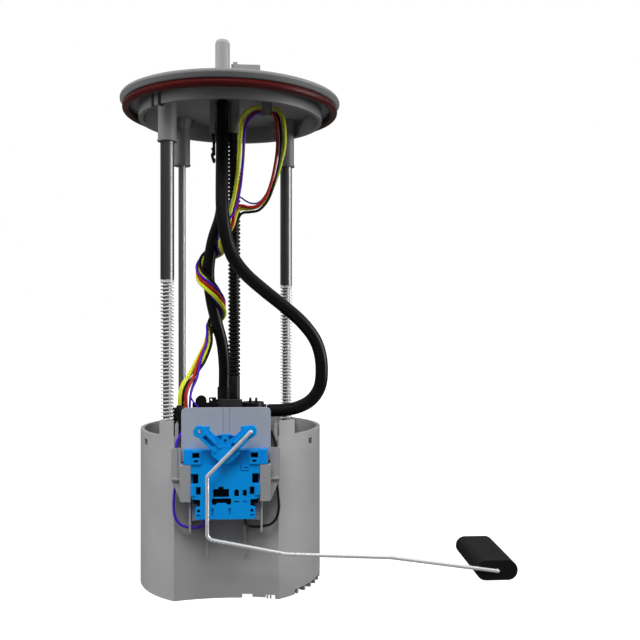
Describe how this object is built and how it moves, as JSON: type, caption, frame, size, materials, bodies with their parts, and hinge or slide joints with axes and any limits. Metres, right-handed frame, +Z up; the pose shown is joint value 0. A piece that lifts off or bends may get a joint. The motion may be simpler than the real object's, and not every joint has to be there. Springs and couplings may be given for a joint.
{
  "type": "fuel pump module",
  "caption": "In-tank fuel pump module: flange with port and plug on sprung guide rods over a reservoir pot with pump, level sensor and float arm.",
  "frame": {"origin": "on the flange's axis, in the plane the reservoir pot stands on", "axes": "+Z up along the flange's axis, -Y towards the level sensor, +X towards the float"},
  "size_m": [0.248, 0.146, 0.3544],
  "materials": {
    "grey_plastic": "moulded, fine grain",
    "flange_plastic": "moulded, fine grain",
    "pot_plastic": "moulded, fine grain",
    "plate_plastic": "moulded, smooth",
    "seal_rubber": "smooth",
    "black_plastic": "moulded",
    "dark_grey_plastic": "moulded",
    "hose_rubber": "smooth, slightly glossy",
    "corrugated_plastic": "corrugated",
    "black_rubber": "matt",
    "wire_yellow": "extruded insulation",
    "wire_red": "extruded insulation",
    "wire_purple": "extruded insulation",
    "wire_black": "extruded insulation",
    "sensor_blue": "moulded, satin",
    "spring_steel": "drawn wire",
    "rod_steel": "ground",
    "sleeve_steel": "drawn tube",
    "arm_steel": "bright drawn wire",
    "pump_steel": "zinc plated",
    "cast_aluminium": "die cast",
    "brass_contact": "plain",
    "copper": "enamelled and turned",
    "lamination_steel": "stacked sheet",
    "ferrite": "sintered",
    "carbon": "pressed carbon",
    "phenolic": "moulded resin",
    "acetal": "moulded",
    "valve_brass": "turned",
    "card_ceramic": "printed card, dark",
    "filter_mesh": "woven mesh",
    "float_black": "moulded nitrile foam"
  },
  "bodies": {
    "reservoir": {"reservoir_pot": "pot_plastic", "foot_valve": "black_rubber", "sensor_plate": "plate_plastic", "sensor_housing": "sensor_blue", "sensor_card": "card_ceramic", "sensor_contacts": "brass_contact", "lead_purple_fixed": "wire_purple", "lead_black_fixed": "wire_black", "pump_deck": "black_plastic", "hose_bracket": "dark_grey_plastic", "return_elbow": "black_plastic", "pump_case": "pump_steel", "pump_isolator": "black_rubber", "inlet_cover": "cast_aluminium", "channel_plate": "cast_aluminium", "field_magnets": "ferrite", "brushes": "carbon", "brush_springs": "spring_steel", "pump_cap": "black_plastic", "check_spring": "spring_steel", "pump_terminals": "brass_contact", "power_plug": "black_plastic", "wire_boot": "black_plastic", "hose_clamp": "black_plastic", "regulator_case": "black_plastic", "regulator_spring": "spring_steel", "inlet_filter": "filter_mesh", "jet_pump": "black_plastic", "coil_springs": "spring_steel", "regulator_hose": "hose_rubber", "supply_hose": "hose_rubber", "return_hose": "corrugated_plastic", "wire_yellow": "wire_yellow", "wire_red": "wire_red", "wire_purple": "wire_purple", "loop_yellow": "wire_yellow", "loop_red": "wire_red", "loop_black": "wire_black", "loop_purple": "wire_purple"},
    "flange": {"flange_cover": "flange_plastic", "seal_ring": "seal_rubber", "fuel_port": "grey_plastic", "connector_shell": "grey_plastic", "connector_pins": "brass_contact", "guide_rods": "rod_steel", "rod_sleeves": "sleeve_steel", "rod_clips": "rod_steel", "hose_clip": "black_plastic"},
    "float_arm": {"sensor_rotor": "sensor_blue", "wiper": "brass_contact", "arm_wire": "arm_steel"},
    "float": {"float_block": "float_black"},
    "armature": {"armature_core": "lamination_steel", "armature_windings": "copper", "commutator": "copper", "pump_shaft": "rod_steel", "impeller": "phenolic"},
    "check_poppet": {"check_valve": "acetal"},
    "regulator_poppet": {"regulator_valve": "valve_brass"}
  },
  "joints": [
    {"name": "flange_slide", "type": "slide", "parent": "reservoir", "child": "flange", "axis": [0, 0, 1], "range_m": [-0.05, 0], "stiffness_N_per_m": 300, "springref_m": 0.05, "deforming": ["coil_springs", "regulator_hose", "supply_hose", "return_hose", "wire_yellow", "wire_red", "wire_purple", "loop_yellow", "loop_red", "loop_black", "loop_purple"]},
    {"name": "float_arm_hinge", "type": "hinge", "parent": "reservoir", "child": "float_arm", "pos_m": [0.0002, -0.066, 0.0903], "axis": [0, -1, 0], "range_deg": [0, 75]},
    {"name": "float_swivel", "type": "hinge", "parent": "float_arm", "child": "float", "pos_m": [0.1624, -0.045, 0.0209], "axis": [0, -1, 0], "range_deg": [-80, 80]},
    {"name": "armature_spin", "type": "hinge", "parent": "reservoir", "child": "armature", "pos_m": [-0.005, 0.006, 0.05], "axis": [0, 0, 1], "continuous": true},
    {"name": "check_valve_lift", "type": "slide", "parent": "reservoir", "child": "check_poppet", "axis": [0, 0, 1], "range_m": [0, 0.003], "stiffness_N_per_m": 60, "deforming": ["check_spring"]},
    {"name": "regulator_valve_lift", "type": "slide", "parent": "reservoir", "child": "regulator_poppet", "axis": [0, 0, 1], "range_m": [0, 0.0015], "stiffness_N_per_m": 400, "deforming": ["regulator_spring"]}
  ]
}
